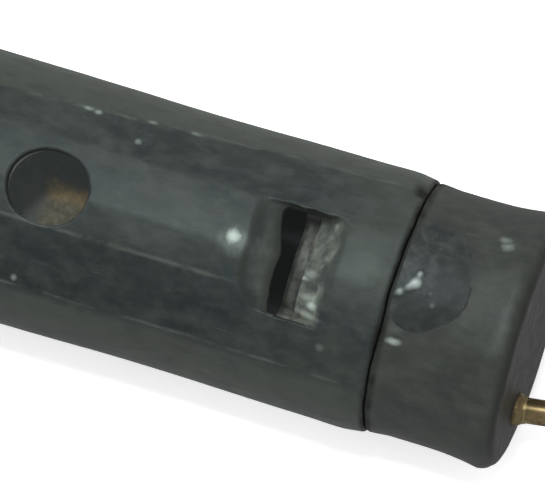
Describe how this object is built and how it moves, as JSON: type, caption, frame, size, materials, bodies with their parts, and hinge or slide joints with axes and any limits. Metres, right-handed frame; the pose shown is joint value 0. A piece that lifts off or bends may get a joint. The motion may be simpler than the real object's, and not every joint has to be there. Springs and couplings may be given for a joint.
{
  "type": "capped duct whistle",
  "caption": "Hard-rubber duct whistle with a brass-lined bore, a cork-fitted wind cap, a thin brass blowpipe and a pull-off foot joint.",
  "frame": {"origin": "centre of the open foot end, on the bore axis", "axes": "+X along the bore towards the wind cap, +Z towards the window and finger holes"},
  "size_m": [0.218, 0.026, 0.026],
  "materials": {
    "ebonite": "worn satin, dark slate",
    "cap_ebonite": "satin, slightly browner",
    "block_ebonite": "rough sawn, pale flecks",
    "pitch": "glossy, lumpy",
    "brass": "dull, tarnished",
    "cork": "matt",
    "sponge": "open pored"
  },
  "bodies": {
    "whistle": {"body_casing": "ebonite", "bore_liner": "brass", "fipple_block": "block_ebonite", "cap_cork": "cork"},
    "foot": {"foot_casing": "ebonite", "foot_sleeve": "brass", "foot_ring": "brass", "socket_ring": "brass"},
    "cap": {"wind_cap": "cap_ebonite", "cap_plug": "pitch", "cap_sponge": "sponge", "pipe_bush": "brass"},
    "pipe": {"blowpipe": "brass", "tip_cork": "cork"},
    "tip": {"mouth_tip": "ebonite", "tip_ring": "brass"}
  },
  "joints": [
    {"name": "cap_slide", "type": "slide", "parent": "whistle", "child": "cap", "axis": [1, 0, 0], "range_m": [0, 0.0055]},
    {"name": "foot_slide", "type": "slide", "parent": "whistle", "child": "foot", "axis": [-1, 0, 0], "range_m": [0, 0.008]},
    {"name": "pipe_slide", "type": "slide", "parent": "cap", "child": "pipe", "axis": [0.9903, 0.1392, 0], "range_m": [0, 0.004]},
    {"name": "tip_slide", "type": "slide", "parent": "pipe", "child": "tip", "axis": [0.9903, 0.1392, 0], "range_m": [0, 0.006]}
  ]
}
